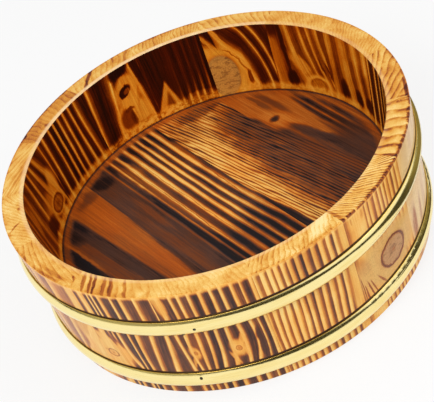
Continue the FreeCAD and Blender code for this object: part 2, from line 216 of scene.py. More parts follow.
def charred(across, along, face, rows, scale, seed):
    """How dark the torch and the brush left a face, from 0, bare late wood, to 1, char.

    scale is the millimetres in one unit across the grain. Shades, spots and what lies over the spots are
    ellipses: their place across and along, half-widths that way, lean, char (a shade only adds it), the share
    it takes and how soft the edge is. A flame is its tip, the slopes of its sides, its char and its softness.
    A knot is its place, its half-widths, the char of its core and of its edge, how far the bare wood round it
    reaches and the char of that wood."""
    degree = 2.3 / scale
    width = 0.95 * degree
    if "spacing" in face:
        bent = across + (across * 0.08).noise(along * 0.012, seed, 2.0) * 5
        bent = bent + (across * 0.45).noise(along * 0.010, seed + 4.4, 2.0) * 2.6
        straight = bent + along * face["tilt"]
        counted = straight / face["spacing"]
    else:
        sway = face.get("sway", 0.22) * degree
        counted, bent, straight = late_wood(across, along, face["lines"], rows, width, seed, sway)
    gap = counted.math("FLOOR")
    grain = (straight * (scale * 0.85)).noise(along * 0.022, seed + 1.7, 4.0, 0.75) - 0.5
    cloud = (bent * (scale * 0.10)).noise(along * 0.05, seed + 9.1, 3.0, 0.6) - 0.5
    speck = (across * (scale * 1.1)).noise(along * 1.1, seed + 5.9, 2.0, 0.7) - 0.5
    spread = face.get("spread", 0.28)
    char = counted.math("FRACT").ramp(face["profile"]) * (gap.lot(seed) * spread + 1.08 - spread)
    least, depth = face.get("least", 0.0), face.get("depth", 1.0)
    char = char * (depth - least) + least
    char = char + grain * (char * 0.70 + 0.26) + cloud * 0.34 + speck * 0.18
    for shade in face.get("shades", []):
        char = char + spot_mask(bent + cloud * (6 / scale), along + cloud * 12, shade, 0.75) * shade[5]
    wavy = cloud * (4 / scale) + grain * (1.2 / scale)
    side, rise = bent + wavy, along + cloud * 8
    rough = grain * 0.4 + speck * 0.15
    for spot in face.get("spots", []):
        mask = spot_mask(side, rise, spot, spot[7] if len(spot) > 7 else 0.45)
        char = char.towards(rough + spot[5], mask * (spot[6] if len(spot) > 6 else 0.94))
    for flame in face.get("flames", []):
        mask = flame_mask(bent + wavy * 0.4, along + cloud * 4, flame, flame[5] / scale)
        char = char.towards(rough + flame[4], mask * 0.94)
    for spot in face.get("over", []):
        char = char.towards(rough + spot[5], spot_mask(side, rise, spot, spot[7]) * spot[6])
    for x, y, wide, tall, core, edge, halo, bare in face.get("knots", []):
        knot_side = (across + wavy * 0.5 - x) * (1 / wide)
        knot_rise = (along + cloud * 5 - y) * (1 / tall)
        far = (knot_side.squared() + knot_rise.squared()).math("SQRT") + speck * 0.14
        char = char.towards(grain * 0.3 + bare, far.step(halo, halo * 0.66))
        heart = core + (edge - core) * 0.5
        ring = far.ramp([(0.0, heart), (0.26, core), (0.58, core * 0.88), (0.72, core), (0.87, edge),
                         (1.0, bare + 0.16)])
        char = char.towards(ring + grain * 0.5 + speck * 0.3, far.step(1.14, 0.90))
    return char, grain, speck


# How the char runs from one late-wood line to the next.

GLOW = [(0.0, 0.06), (0.10, 0.34), (0.19, 0.66), (0.32, 0.90), (0.5, 1.0), (0.70, 0.94), (0.83, 0.68),
        (0.9, 0.36), (1.0, 0.06)]
COMB = [(0.0, 0.0), (0.10, 0.10), (0.28, 0.30), (0.44, 0.58), (0.58, 0.86), (0.84, 1.0), (0.91, 0.74),
        (0.94, 0.12), (1.0, 0.0)]
BAND = [(0.0, 0.05), (0.11, 0.24), (0.22, 0.58), (0.36, 0.88), (0.6, 1.0), (0.84, 0.98), (0.91, 0.76),
        (0.95, 0.14), (1.0, 0.05)]
FINE = [(0.0, 0.02), (0.26, 0.12), (0.44, 0.60), (0.60, 1.0), (0.78, 0.55), (1.0, 0.02)]

# What each face shows: late-wood lines from the rim down, then what the torch left between them. Places are
# bearings in degrees round the tub and drops in millimetres below the rim.

SEEN_INSIDE = {
    1: {"least": 0.24, "depth": 0.66, "sway": 0.3,
        "lines": [(-3.0, -4.6, -7.0), (-0.4, -2.2, -4.6), (2.6, 1.0, -1.5), (6.0, 4.6, 2.4, 1.2),
                  (11.3, 9.9, 7.0, 2.4), (17.2, 15.8, 13.0, 2.7), (23.9, 22.8, 20.9, 4.2),
                  (30.3, 29.5, 28.8, 2.4)],
        "spots": [(24.5, 46, 1.9, 8.5, -0.05, 1.0, 0.85, 0.8), (16.8, 46, 2.1, 7.5, -0.05, 1.0, 0.85, 0.8),
                  (10.2, 45, 2.3, 6.0, -0.05, 0.92, 0.85, 0.8), (4.6, 43, 1.6, 5.0, -0.05, 0.85, 0.7, 0.8)],
        "shades": [(8, 4, 12, 16, 0, -0.14)]},
    2: {"least": 0.18, "depth": 0.62,
        "lines": [(30.3, 29.5, 28.8, 2.2), (35.0, 32.3, 29.4, 0.9), (38.8, 36.0, 32.2, 0.9),
                  (42.1, 39.2, 34.5, 0.9), (47.2, 45.0, 40.6, 1.4), (53.6, 53.4, 53.2, 0.5),
                  (56.5, 56, 55.5)],
        "spots": [(52.2, 24, 1.9, 17, -0.05, 0.37, 0.9, 0.9), (50.9, 44, 1.1, 14, -0.03, 0.40, 0.85, 0.8),
                  (43.4, 34, 2.9, 9.5, -0.30, 0.24, 0.94, 0.7), (49.2, 18, 0.8, 26, -0.04, 1.0, 0.7, 0.9),
                  (52.3, 0, 2.6, 10, 0, 0.9, 0.8, 0.9)],
        "over": [(47.5, 46.5, 2.0, 7.6, -0.05, 0.96, 0.92, 0.5), (31.9, 36, 0.45, 7.0, -0.20, 0.84, 0.7, 0.9),
                 (34.6, 33, 0.5, 6.0, -0.2, 0.84, 0.6, 0.9)],
        "knots": [(37.2, 50.0, 4.0, 6.4, 0.40, 0.46, 1.75, 0.17)]},
    3: {"least": 0.08, "depth": 0.88,
        "lines": [(53.2, 50.5, 49.5), (60.8, 55.2, 53.0, 0.9), (65.7, 58.8, 56.4, 0.9),
                  (73.6, 64.8, 61.6, 1.1), (80, 79, 78)],
        "spots": [(75.0, 46, 13.0, 35, 0, 0.15, 0.94, 0.35)],
        "flames": [(72.6, 15, -0.10, -0.26, 0.95, 0.8)],
        "over": [(75.8, 8, 0.8, 8, -0.26, 0.22, 0.9, 0.9), (72.2, 4, 0.6, 9, -0.30, 0.16, 0.9, 0.9),
                 (68.4, 23, 0.35, 5.5, -0.42, 0.52, 0.7, 0.9), (65.4, 34, 0.35, 7.5, -0.16, 0.52, 0.7, 0.9),
                 (63.9, 44.5, 0.85, 6.4, -0.02, 0.66, 0.85, 0.6)],
        "knots": [(73.3, 40, 6.1, 18.2, 0.34, 0.56, 1.1, 0.15)]},
    4: {"least": 0.34, "spread": 0.34,
        "lines": [(76.6, 76.6, 76.6, 0.4), (78.6, 78.8, 79.1, 0.5), (81.4, 81.3, 81.6, 0.7),
                  (83.5, 83.6, 84.2, 0.7), (86.2, 86.2, 86.8, 0.8), (89.1, 89.2, 89.4, 0.6),
                  (101.6, 101, 100.4, 0.8)],
        "spots": [(89.0, 8, 13.0, 36, 0, 0.92, 0.66, 0.5)],
        "flames": [(93.5, 28, -0.14, 0.24, 0.20, 1.3), (93.6, 37, -0.10, 0.17, 0.58, 1.3)],
        "over": [(94.4, 53, 3.6, 5.0, 0, 0.10, 0.8, 0.6), (98.7, 12, 0.3, 20, 0, 0.66, 0.5, 0.9)],
        "shades": [(84, 52, 9, 5.0, 0, -0.3)]},
    5: {"least": 0.04,
        "lines": [(97.5, 97.8, 98.2), (102.9, 101.6, 100.6, 1.5), (110.3, 112.3, 114.2, 0.8),
                  (119.9, 121.0, 121.9, 1.1), (124, 124, 124)],
        "spots": [(106.8, 22, 4.6, 15, 0.05, 0.20, 0.95, 0.4), (107.9, 46, 6.6, 20, 0.0, 0.20, 0.95, 0.3),
                  (106.9, 2, 3.6, 6.2, 0.12, 1.0, 0.95, 0.5)],
        "over": [(107.5, 20.4, 2.1, 4.3, 0.1, 1.0, 0.95, 0.4), (106.7, 21.4, 1.1, 2.3, 0, 0.48, 0.9, 0.6),
                 (110.3, 42.5, 2.7, 8.4, 0.0, 0.60, 0.92, 0.5), (108.4, 45, 1.1, 6.5, 0, 0.78, 0.7, 0.8),
                 (108.6, 36.0, 1.8, 1.6, 0, 0.74, 0.7, 0.8), (99.95, 26, 0.3, 20, 0.0, 0.8, 0.8, 0.7),
                 (101.0, 7, 1.3, 16, -0.04, 0.96, 0.9, 0.7), (103.6, 29, 0.5, 7, 0.14, 0.36, 0.7, 0.9),
                 (104.6, 50, 2.4, 1.5, 0, 0.42, 0.6, 0.8)]},
    6: {"least": 0.10, "spread": 0.22, "depth": 0.92,
        "lines": [(118, 118, 118), (125.6, 125.6, 125.1, 0.8), (128.5, 128.5, 128.3, 0.8),
                  (131.3, 131.7, 132.2, 0.8), (134.1, 134.4, 134.9, 0.8), (136.8, 137.1, 137.7, 0.8),
                  (139.8, 140.2, 141.0, 0.8), (144.0, 144.6, 145.5, 1.0), (149, 149, 149)],
        "spots": [(123.3, 26, 0.4, 30, 0, 0.98, 0.6)]},
    7: {"least": 0.20, "depth": 0.86,
        "lines": [(143.5, 144, 145), (147.4, 147.6, 147.8, 0.5), (153.7, 149.8, 148.8, 1.5),
                  (157.5, 154.8, 152.4, 1.0), (160.6, 160.6, 160.2, 0.9), (164.5, 165.0, 165.6, 0.9),
                  (170.2, 171.4, 171.8)],
        "spots": [(151.4, 30, 3.0, 12, 0.10, 0.22, 0.94, 0.7), (159.2, 36, 6.4, 9, 0.0, 0.30, 0.8, 0.9),
                  (166.4, 43.5, 5.0, 6.4, 0, 0.86, 0.9, 0.7)],
        "over": [(162.6, 26, 1.4, 9, 0.0, 0.62, 0.6, 0.9), (147.0, 42, 0.8, 10, 0.0, 0.95, 0.8, 0.7)],
        "knots": [(154.6, 42.2, 4.4, 6.6, 0.50, 0.66, 1.45, 0.22)]},
    8: {"least": 0.36, "depth": 0.70, "sway": 0.4,
        "lines": [(165, 165, 165), (170.4, 171.6, 171.8, 1.4), (176.4, 178.0, 179.2, 2.0),
                  (182.0, 182.8, 184.4, 1.8), (187.5, 188.5, 189.5, 1.6), (192.0, 192.6, 193.0),
                  (197, 197, 197)],
        "spots": [(175.0, 18, 1.6, 12, 0.1, 0.30, 0.6, 0.9)]},
}
SEEN_OUTSIDE = {
    # Its lines are kept faint, partly a painted reflection of light on its lacquer.
    9: {"depth": 0.62, "least": 0.06,
        "lines": [(189, 189, 189), (193.6, 193.6, 193.8, 1.3), (197.2, 197.0, 196.6, 1.0),
                  (201.0, 200.6, 200.4, 0.9), (208.6, 208.4, 207.4, 1.0), (216.8, 213.8, 209.9, 2.4),
                  (222, 221.5, 221)],
        "spots": [(217.5, 62, 6.0, 26, 0.10, 0.10, 0.9)],
        "over": [(214.0, 47, 1.6, 9, -0.12, 0.34, 0.6, 0.9)]},
    10: {"profile": BAND, "depth": 0.90,
         "lines": [(217.4, 216.0, 214.0, 3.2), (221.3, 221.2, 221.0, 2.2), (223.9, 223.6, 224.0, 0.6),
                   (225.3, 225.1, 225.8, 0.6), (227.3, 226.8, 229.2, 1.0), (230.9, 230.2, 230.4, 0.7),
                   (233.6, 232.5, 232.3, 0.9), (237.7, 236.8, 235.2, 0.9), (242.3, 241.2, 239.7, 1.0),
                   (246.0, 246.0, 246.0)],
         "spots": [(219.0, 63, 8.6, 20, 0.12, 0.12, 0.94, 0.3), (218.0, 46, 0.4, 7, 0.1, 0.40, 0.7, 0.9)],
         "over": [(223.5, 47, 0.55, 8, 0.05, 0.70, 0.8, 0.7), (225.0, 50, 0.4, 8, 0.12, 0.60, 0.8, 0.7),
                  (222.4, 68.5, 0.9, 1.2, 0.0, 0.66, 0.7, 0.9), (219.3, 65, 0.8, 1.2, 0.0, 0.50, 0.7, 0.9)],
         "knots": [(221.0, 67.0, 2.0, 4.4, 0.26, 0.62, 1.4, 0.12)]},
    11: {"profile": BAND, "depth": 0.92,
         "lines": [(240.5, 240, 239), (244.0, 244.4, 245.0, 1.0), (247.4, 246.4, 246.8, 0.8),
                   (249.6, 249.6, 248.8, 0.8), (252.2, 252.2, 250.9, 0.8), (255.0, 254.8, 253.3, 0.9),
                   (257.8, 257.6, 256.5, 0.8), (260.3, 261.2, 260.4, 0.8), (263.1, 264.4, 262.9, 0.9),
                   (265.5, 266.4, 266.0, 0.5), (268.2, 268.2, 268.2, 0.9)],
         "spots": [(243.8, 8, 1.5, 15, 0.05, 0.14, 0.8, 0.6), (265.4, 64, 0.9, 18, 0.0, 0.94, 0.9, 0.7)],
         "over": [(247.2, 60, 1.4, 7.0, 0.05, 0.14, 0.95, 0.7), (258.9, 62.0, 2.0, 8.4, 0, 0.14, 0.95, 0.7),
                  (260.4, 56, 0.7, 8.0, -0.10, 0.12, 0.85, 0.7), (257.0, 71, 0.6, 7.0, 0.12, 0.14, 0.85, 0.7),
                  (260.6, 70, 0.5, 6.0, 0.05, 0.16, 0.7, 0.7), (246.1, 69, 0.5, 6.0, -0.08, 0.14, 0.8, 0.7)],
         "knots": [(247.3, 60, 0.6, 2.2, 0.34, 0.44, 1.5, 0.14),
                   (258.9, 62.4, 0.9, 2.6, 0.36, 0.50, 1.5, 0.12)]},
    12: {"depth": 0.76,
         "lines": [(268.8, 268.6, 268.6, 0.6), (271.1, 270.5, 270.4, 0.8), (273.1, 272.3, 272.0, 0.8),
                   (274.8, 274.2, 274.0, 0.8), (276.7, 276.2, 276.0, 0.8), (278.5, 278.3, 277.8, 0.8),
                   (280.5, 280.2, 279.9, 0.8), (282.8, 282.4, 281.9, 0.8), (285.2, 284.8, 284.2, 0.8),
                   (287.5, 287.1, 286.5, 0.9), (289.8, 289.5, 288.6, 0.9), (292.0, 291.6, 290.8, 0.9),
                   (294.4, 294.2, 293.6, 2.2), (297, 297, 297)],
         "spots": [(294.0, 50, 1.9, 60, 0, 0.24, 0.6)],
         "shades": [(282, 14, 5, 26, 0, 0.16), (274, 30, 5, 60, 0, -0.08)]},
    13: {"depth": 0.62, "least": 0.06,
         "lines": [(293.8, 293.8, 293.8, 0.6), (299.2, 299.2, 299.2, 6.4), (303.5, 303.6, 303.4, 0.8),
                   (305.0, 305.0, 305, 0.7), (307.3, 307.2, 307.0, 0.8), (309.2, 309, 309, 0.7),
                   (311.0, 311, 311, 0.7), (312.6, 312.6, 312.4, 0.7), (314.5, 314.5, 314.4, 0.8),
                   (316.6, 316.7, 316.6, 0.9), (318.7, 318.8, 318.7, 1.0), (322.0, 322, 322)],
         "spots": [(308, 60, 15.0, 21, 0, 0.17, 0.97)],
         "over": [(296.1, 68, 0.22, 12, 0.02, 0.66, 0.9, 0.5), (297.1, 74, 0.26, 9, 0.05, 0.62, 0.9, 0.5),
                  (298.4, 72, 0.30, 9, 0.08, 0.70, 0.9, 0.5), (299.8, 73, 0.30, 9, 0.11, 0.66, 0.9, 0.5),
                  (303.2, 73, 0.45, 6.0, 0.22, 0.60, 0.9, 0.6), (298.0, 7, 0.3, 3, 0, 0.4, 0.7, 0.5),
                  (297.6, 50, 2.4, 8.0, 0.1, 0.42, 0.6, 0.9), (315.4, 73, 0.6, 4.5, 0.25, 0.40, 0.6, 0.8),
                  (301.6, 6, 0.6, 4, 0, 0.32, 0.7, 0.9), (295.5, 58, 0.25, 22, 0, 0.6, 0.7, 0.8)],
         "knots": [(309.9, 60.6, 6.2, 12.4, 0.36, 0.80, 1.1, 0.18)]},
    # Its lines are faint and pale, partly a painted reflection of bright light on its lacquer.
    14: {"depth": 0.40, "least": 0.05,
         "lines": [(317.5, 317, 317), (320.6, 320.4, 320.0, 1.6), (328.4, 327.2, 326.0, 3.6),
                   (333.4, 332.4, 331.0, 2.6), (338.6, 338.2, 337.0, 2.6), (344.0, 344.0, 344.0, 2.0),
                   (348, 348, 348)],
         "spots": [(330, 30, 11, 30, 0, 0.10, 0.8, 0.8)],
         "over": [(323.4, 69, 1.6, 15, -0.05, 0.62, 0.75, 0.8), (328.9, 70, 1.2, 13, -0.08, 0.60, 0.7, 0.8),
                  (333.4, 66, 1.2, 13, -0.08, 0.45, 0.7, 0.8), (331.0, 9, 1.6, 7, 0.0, 0.34, 0.7, 0.9)]},
}


def usual_lines(low, high, seed, spacing):
    """Late-wood lines as a tree lays them down: wide and narrow years follow in runs."""
    draw = random.Random(seed)
    lines, at, pace = [], low - spacing, spacing
    drift = draw.uniform(-1.2, 1.2)
    while at < high + spacing and len(lines) < 15:
        lines.append((at, at + drift, at + drift * draw.uniform(1.4, 1.9), spacing * 0.28))
        pace = min(max(pace * draw.uniform(0.72, 1.38), spacing * 0.7), spacing * 1.7)
        at += pace
    return lines


def bearings(node):
    """The bearings, in degrees, at which a stave starts and ends."""
    corners = [corner.co for corner in node.data.vertices]
    middle = math.atan2(sum(corner.y for corner in corners), sum(corner.x for corner in corners))
    turns = [math.remainder(math.atan2(corner.y, corner.x) - middle, math.tau) for corner in corners]
    middle = math.degrees(middle) % 360
    return middle + math.degrees(min(turns)), middle + math.degrees(max(turns))


INSIDE_TONES = [(0.0, rgb(252, 198, 96)), (0.14, rgb(234, 158, 46)), (0.32, rgb(196, 104, 12)),
                (0.52, rgb(134, 54, 2)), (0.74, rgb(76, 20, 0)), (1.0, rgb(32, 8, 2))]
OUTSIDE_TONES = [(0.0, rgb(252, 212, 128)), (0.14, rgb(240, 184, 92)), (0.34, rgb(212, 140, 60)),
                 (0.54, rgb(168, 96, 46)), (0.76, rgb(112, 66, 44)), (1.0, rgb(58, 38, 36))]
STAINS_AND_GLARE = {3: [(73.3, 40, 5.8, 17.6, 0, rgb(206, 146, 66), 0.8)],
          13: [(308, 60, 13.5, 20, 0, rgb(220, 178, 108), 0.62),
               (309.9, 60.6, 5.8, 11.6, 0, rgb(188, 136, 94), 0.7),
               (309.6, 59.4, 1.7, 3.4, 0, rgb(150, 98, 58), 0.55)],
          # The fourteenth stave's broad pale patch is a painted reflection of bright light on its lacquer.
          14: [(334, 44, 15, 70, 0, rgb(236, 208, 160), 0.64)]}

# The rim is bare end grain. For each stave: how far its growth rings lean across the rim, how wide they are,
# how strongly they show, how dark the wood is, and how far the torch caught its outer edge.

RIM_RINGS = {1: (0.8, 3.4, 0.35, 0.30, 0.1), 2: (0.8, 3.4, 0.25, 0.31, 0.1), 3: (0.6, 5.0, 0.50, 0.24, 0.1),
             4: (-0.1, 2.6, 0.45, 0.28, 0.5), 5: (-0.5, 5.0, 0.40, 0.27, 0.4),
             6: (-0.15, 4.6, 0.32, 0.45, 0.5), 7: (2.4, 9.0, 0.40, 0.25, 0.3),
             8: (-1.2, 4.0, 0.34, 0.23, 0.2), 9: (3.4, 12.0, 0.46, 0.27, 0.2),
             10: (0.5, 6.0, 0.30, 0.26, 0.1), 11: (0.5, 3.4, 0.28, 0.21, 0.1),
             12: (-0.5, 3.6, 0.56, 0.19, 0.25), 13: (0.7, 2.7, 1.20, 0.15, 1.1),
             14: (0.05, 9.0, 1.2, 0.17, 1.1), 15: (1.6, 9.0, 0.85, 0.26, 0.4)}

# Streaks of heartwood cross the rim on some staves, by bearing and by millimetres from the middle of the rim.
# A painted highlight lightens the rim's inner edge, most on the staves at the far side.

RIM_STREAKS = {
    5: [(101.4, 0, 0.7, 8, -0.20, 0.5), (115.8, 0, 0.8, 12, -0.44, 1.0), (105.6, 4, 0.5, 5, -0.3, 0.3)],
    6: [(143.6, 7.0, 0.8, 1.6, 0.0, 1.0), (132.0, 7.6, 13.0, 1.0, 0.0, 0.3), (137.5, -5, 1.0, 2.0, 0, 0.4)],
    7: [(164.0, -1, 1.0, 8, 1.0, 0.35), (161.5, 0, 0.7, 8, 1.0, 0.30)],
    8: [(183.8, 1.5, 0.4, 4.5, 0.24, 0.7), (176.6, -4.6, 0.7, 1.2, 0, 0.5), (185.6, 6.5, 1.4, 1.2, 0, 0.4)],
    9: [(210.0, 3, 9.0, 1.6, 2.4, 0.3), (217.5, 0.5, 0.45, 2.5, 0.3, 0.7),
        (204.0, 6.5, 8.0, 1.2, 1.0, 0.25)],
    10: [(220.8, 0, 0.55, 9, 0.21, 0.8), (223.2, 0, 0.60, 9, 0.22, 0.9), (224.8, 0, 0.55, 9, 0.20, 0.9),
         (228.0, 0, 0.60, 9, 0.17, 0.7), (230.2, 0, 0.65, 9, 0.19, 0.8), (234.4, 0, 0.6, 9, 0.18, 0.45),
         (241.8, 4.5, 0.9, 3, 0.1, 0.40)],
    11: [(266.5, -5.5, 2.0, 3.0, 0.0, 0.26)],
    12: [(285.2, 1.5, 1.6, 6.5, -0.35, 0.26), (290.5, -1, 3.4, 7, -0.3, -0.5)],
    13: [(295.9, -2, 0.5, 9, 0.05, 0.5), (298, 0, 2.6, 8, 0.2, 0.20)],
    14: [(320.2, 5.5, 0.5, 2.6, 0.0, 1.0), (324.8, 0, 0.8, 9, 0.05, 0.5), (343.8, 0, 0.5, 9, 0.05, 0.6)],
    15: [(348.0, 6.2, 3.8, 1.2, 0.15, 1.0), (344.9, 5.0, 0.6, 4.0, 0.0, 0.7),
         (353.0, 0, 7.0, 9.0, 0.0, 0.12)],
}
# How strongly the painted highlight lightens each stave's inner rim edge.
RIM_EDGE_HIGHLIGHT = {3: 0.55, 4: 0.8, 5: 0.8, 6: 0.75, 7: 0.55, 8: 0.35, 9: 0.2, 10: 0.3, 11: 0.3, 12: 0.3, 13: 0.1,
          14: 0.1}
RIM_TONES = [(0.0, rgb(253, 226, 158)), (0.2, rgb(241, 194, 104)), (0.42, rgb(222, 150, 58)),
             (0.68, rgb(170, 90, 38)), (1.0, rgb(84, 38, 28))]

# In millimetres: the radius half-way through the wall at the rim and how much less it is for each millimetre
# down, the radius of the middle of the rim's flat top, and the length of one degree along it.

wall_middle = 141.8
wall_taper = 0.04
rim_middle = 142
rim_degree = 2.48


def inside_char(number, span, bearing, drop):
    """Char on a stave's inner face, which ends in a ragged line above the floor, with painted shade in the
    corner.
    """
    lines = usual_lines(*span, number + 40, 3.3)
    face = {"lines": lines, "profile": GLOW, **SEEN_INSIDE.get(number, {})}
    char, grain, speck = charred(bearing, drop, face, (0, 28, 50), 2.27, number * 7.3)
    ragged = (bearing * 0.9).noise(drop * 0.05, number * 2.2) * 5 - 2.5
    mottle = (bearing * 0.8).noise(drop * 0.4, number * 4.1, 3.0, 0.7).step(0.40, 0.64)
    foot = (drop + ragged).step(48.5, 53.5)
    patch = 0.24 if number in (4, 5) else 0.09
    char = char * (1 - foot * 0.72) + foot * (mottle * patch + 0.05)
    # Painted shade: a dark line in the corner where the wall meets the floor.
    corner = drop.step(55.9, 56.9)
    return char + corner * 0.30, grain, speck


def outside_char(number, span, bearing, drop, scorch):
    """Char on a stave's outer face: little right under the rim, and a painted shadow line along the top of
    each hoop.
    """
    lines = usual_lines(*span, number + 70, 2.2)
    face = {"lines": lines, "profile": COMB, **SEEN_OUTSIDE.get(number, {})}
    char, grain, _ = charred(bearing, drop, face, (25, 46, 78), 2.6, number * 7.3 + 50)
    ragged = (bearing * 0.9).noise(number, 8.0) * 3 - 1.5
    char = char * ((drop + ragged).step(0.8, 4.0) * 0.82 + 0.18)
    char = char + scorch * drop.step(2.4, 0.8) * 0.6
    # Painted shadow: a dark line on the wood just above each hoop, where the hoop's edge shades it.
    for hoop_top in hoop_tops:
        hoop_contact_shadow = (drop - (hoop_top - 0.5)).math("ABSOLUTE").step(1.3, 0.4)
        char = char.towards(1.25, hoop_contact_shadow * 0.9)
    return char, grain


def rim_char(number, middle, bearing, radius, scorch):
    """How dark the end grain is, its fibres, its rings, and how strongly a painted highlight lightens its
    inner edge.
    """
    lean, spacing, depth, tone, _ = RIM_RINGS[number]
    across_rim = radius - rim_middle
    run = (bearing - middle) * rim_degree
    swirl = (run * 0.07).noise(across_rim * 0.09, number * 5.1, 2.0) - 0.5
    ring = (run - across_rim * lean + across_rim.squared() * (0.02 * lean) + swirl * 8.0) / spacing
    band = ring.math("FRACT").ramp([(0.0, 0.0), (0.30, 0.10), (0.62, 0.46), (0.82, 1.0), (0.91, 0.94),
                                    (1.0, 0.0)])
    fibre = (run * 1.6).noise(across_rim * 1.6, number * 1.3, 2.0, 0.7) - 0.5
    patchy = (run * 0.16).noise(across_rim * 0.2, number * 2.9, 3.0).step(0.3, 0.6) * 0.65 + 0.35
    year = ring.math("FLOOR").lot(number) * 0.7 + 0.65
    char = band * patchy * year * (0.5 * depth) + fibre * 0.50 + swirl * 0.6 + tone
    for streak in RIM_STREAKS.get(number, []):
        mask = spot_mask(bearing + swirl * 2.4 + fibre * 0.9, across_rim, streak, 0.85)
        char = char + mask * (0.55 * streak[5])
    outer_edge = (radius + fibre * 3 + swirl * 4).step(147.6, 149.4)
    inner_edge = (radius - fibre * 2.5).step(137.6, 135.4)
    # Painted highlight: the rounded inner edge is lightened as if it caught the light.
    edge_highlight = inner_edge * (patchy * 0.5 + 0.6) * RIM_EDGE_HIGHLIGHT.get(number, 0.2)
    return char + scorch * outer_edge * 0.55, fibre, band, edge_highlight


def with_stains_and_glare(colour, number, bearing, drop, outer, char_out, speck):
    """The colour with the knots of this stave and the painted glare washed over the fourteenth, which lie
    outside but for the third's.
    """
    for x, y, wide, tall, lean, patch_colour, share in STAINS_AND_GLARE.get(number, []):
        side = 1 - outer if number == 3 else outer
        mask = spot_mask(bearing, drop, (x, y, wide, tall, lean), 0.5 if wide > 10 else 0.2) * side
        crack = (bearing * 0.35 + drop * 0.03).noise(drop * 0.36, number, 3.0, 0.7).step(0.50, 0.60)
        dull = (crack * (0.55 if wide < 10 else 0.12) + speck * 1.4 + 0.1).tint(patch_colour, rgb(110, 68, 34))
        bare = 1 - char_out.step(0.4, 0.6) * outer
        colour = (mask * bare * share).tint(colour, dull)
    return colour


def stave_finish(number, node):
    """One material for a stave: charred inside and outside, bare end grain on the rim and underneath."""
    span = bearings(node)
    middle = sum(span) / 2
    material, tree, (x, y, z) = new_finish(f"stave_wood_{number:02d}")
    cosine, sine = math.cos(math.radians(middle)), math.sin(math.radians(middle))
    forward, sideways = x * cosine + y * sine, y * cosine - x * sine
    bearing = sideways.math("ARCTAN2", forward) * (180 / math.pi) + middle
    radius = (forward.squared() + sideways.squared()).math("SQRT")
    drop = tub_top - z
    outer = (radius + drop * wall_taper - wall_middle).step(-1.0, 1.0)
    facing = facing_up(tree)
    rim_face, under = facing.step(0.35, 0.75), facing.step(-0.35, -0.75)

    scorch = (bearing * 0.8).noise(number, 2.0, 3.0).step(0.30, 0.54) * RIM_RINGS[number][4]
    char_in, grain_in, speck = inside_char(number, span, bearing, drop)
    char_out, grain_out = outside_char(number, span, bearing, drop, scorch)
    char_rim, fibre, band, edge_highlight = rim_char(number, middle, bearing, radius, scorch)

    colour = outer.tint(char_in.ramp(INSIDE_TONES), char_out.ramp(OUTSIDE_TONES))
    warm = (bearing * 0.25).noise(drop * 0.03, number * 3.7, 2.0).step(0.35, 0.65)
    colour = warm.tint(colour, rgb(255, 238, 214), "MULTIPLY")
    colour = with_stains_and_glare(colour, number, bearing, drop, outer, char_out, speck)
    # The rim's colour, lightened to pale cream along its inner edge by the painted highlight.
    colour = rim_face.tint(colour, edge_highlight.tint(char_rim.ramp(RIM_TONES), rgb(255, 222, 172)))
    colour = under.tint(colour, (fibre * 0.4 + band * 0.3 + 0.25).ramp(RIM_TONES))
    char = (outer * (char_out - char_in) + char_in) * (1 - rim_face)
    relief = (grain_in + outer * (grain_out - grain_in)) * 0.5 - char * 0.6
    close_finish(tree, {"Base Color": colour, "Roughness": char * 0.10 + 0.34 + rim_face * 0.16,
                        "Coat Weight": outer * (1 - rim_face) * 0.30, "Coat Roughness": 0.10,
                        "Specular IOR Level": 0.07},
                 [(relief, 0.0004, 0.5)])
    return material


for number, node in enumerate(staves, 1):
    dress(node, stave_finish(number, node))

# The floor boards
# Four boards glued and pegged edge to edge, turned to a disc and sprung into the groove round the staves.
# The torch ran along the boards, so their ends by the wall stayed pale past a ragged line of char.

FLOOR_TONES = [(0.0, rgb(248, 196, 104)), (0.16, rgb(226, 156, 68)), (0.36, rgb(180, 94, 28)),
               (0.55, rgb(126, 66, 28)), (0.76, rgb(82, 52, 40)), (1.0, rgb(26, 20, 22))]
grain_turn = math.radians(23)

# Places on the boards are millimetres across the grain and along it, from the middle of the floor. Lines
# are placed by their distance across at the far end, past the middle and near the camera's end.

